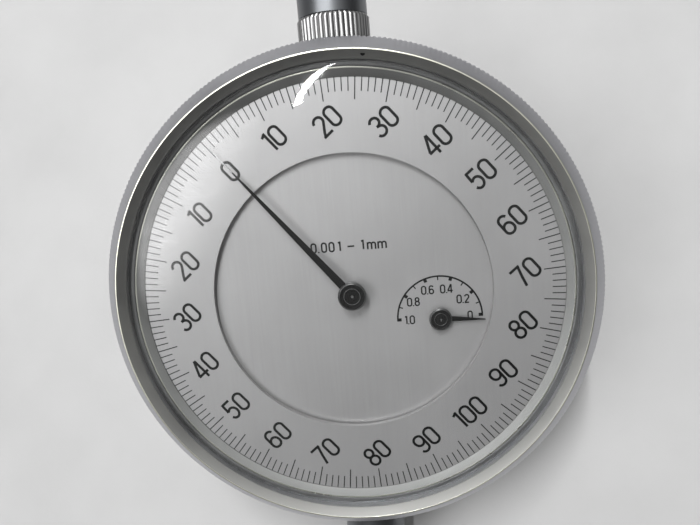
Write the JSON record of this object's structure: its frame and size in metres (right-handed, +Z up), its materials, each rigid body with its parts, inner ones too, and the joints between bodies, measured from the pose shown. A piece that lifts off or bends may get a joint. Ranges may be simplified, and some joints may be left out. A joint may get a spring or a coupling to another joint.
{
  "type": "dial indicator",
  "caption": "Plunger dial indicator with a turning numbered bezel, a turns counter, a geared movement, a capped spindle, a clamping stem and a lug back",
  "frame": {"origin": "the lower end of the stem, on the spindle axis", "axes": "+Z up along the spindle axis, the dial faces -Y, +X to the reader's right"},
  "size_m": [0.057, 0.0321, 0.1036],
  "materials": {
    "satin_alloy": "satin anodised",
    "dial_white": "satin silver-white lacquer",
    "crystal": "clear acrylic",
    "case_alloy": "satin die-cast",
    "chrome": "polished chrome plate",
    "steel": "ground steel",
    "brass": "brushed brass",
    "black": "satin black",
    "gunmetal": "dark gunmetal plate",
    "jewel": "clear red synthetic ruby",
    "rubber": "black gasket rubber",
    "blue_steel": "blued spring steel"
  },
  "bodies": {
    "case_body": {"case": "case_alloy", "bezel_wire": "steel", "gasket": "rubber", "back_cover": "case_alloy", "lug": "case_alloy", "cover_screws": "steel", "lug_screws": "steel", "stem": "chrome", "lower_bush": "brass", "upper_bush": "brass", "cap_collar": "chrome", "spindle_cap": "chrome", "inner_dial": "dial_white", "rear_cock": "brass", "guide_bar": "steel", "posts": "brass", "post_screws": "steel", "cock_jewel": "jewel", "spring_post": "steel", "hairspring_stud": "brass", "front_plate": "brass", "middle_plate": "brass", "front_jewels": "jewel", "middle_jewels": "jewel", "plate_screws": "steel", "pillars": "brass", "pillar_screws": "steel", "hairspring": "blue_steel", "return_spring": "steel"},
    "bezel_body": {"bezel": "satin_alloy", "crystal": "crystal", "dial_ring": "dial_white", "retaining_ring": "satin_alloy"},
    "spindle_body": {"spindle": "steel", "rack": "steel", "guide_pin": "steel", "stop_collar": "brass", "spring_arm": "steel", "contact_point": "steel", "contact_ball": "chrome"},
    "first_wheel": {"first_arbor": "steel", "first_gear": "brass"},
    "second_wheel": {"second_arbor": "steel", "second_gear": "brass"},
    "centre_wheel": {"centre_arbor": "steel", "pointer": "black", "pointer_hub": "gunmetal"},
    "counter_wheel": {"counter_arbor": "steel", "counter_gear": "brass", "counter_pointer": "black", "counter_hub": "gunmetal"},
    "takeup_wheel": {"takeup_arbor": "steel", "takeup_gear": "brass", "collet": "brass"}
  },
  "joints": [
    {"name": "spindle_slide", "type": "slide", "parent": "case_body", "child": "spindle_body", "axis": [0, 0, 1], "range_m": [0, 0.001], "stiffness_N_per_m": 120, "springref_m": -0.008, "deforming": ["return_spring"]},
    {"name": "bezel_turn", "type": "hinge", "parent": "case_body", "child": "bezel_body", "pos_m": [0, 0, 0.044], "axis": [0, -1, 0], "continuous": true},
    {"name": "first_spin", "type": "hinge", "parent": "case_body", "child": "first_wheel", "pos_m": [0.00334, 0, 0.031], "axis": [0, -1, 0], "range_deg": [-36.5, 0]},
    {"name": "second_spin", "type": "hinge", "parent": "case_body", "child": "second_wheel", "pos_m": [-0.00365, 0, 0.03949], "axis": [0, -1, 0], "range_deg": [0, 360.5]},
    {"name": "centre_spin", "type": "hinge", "parent": "case_body", "child": "centre_wheel", "pos_m": [0, 0, 0.044], "axis": [0, -1, 0], "range_deg": [-1800.5, 0]},
    {"name": "counter_spin", "type": "hinge", "parent": "case_body", "child": "counter_wheel", "pos_m": [0.00998, 0, 0.04034], "axis": [0, -1, 0], "range_deg": [0, 180.5]},
    {"name": "takeup_spin", "type": "hinge", "parent": "case_body", "child": "takeup_wheel", "pos_m": [-0.00347, 0, 0.05144], "axis": [0, -1, 0], "range_deg": [0, 240.5]}
  ],
  "couplings": [
    {"joint": "first_spin", "follows": "spindle_slide", "rad_per_m": -628.32},
    {"joint": "second_spin", "follows": "spindle_slide", "rad_per_m": 6283.2},
    {"joint": "centre_spin", "follows": "spindle_slide", "rad_per_m": -31416},
    {"joint": "counter_spin", "follows": "spindle_slide", "rad_per_m": 3141.6},
    {"joint": "takeup_spin", "follows": "spindle_slide", "rad_per_m": 4188.8}
  ]
}
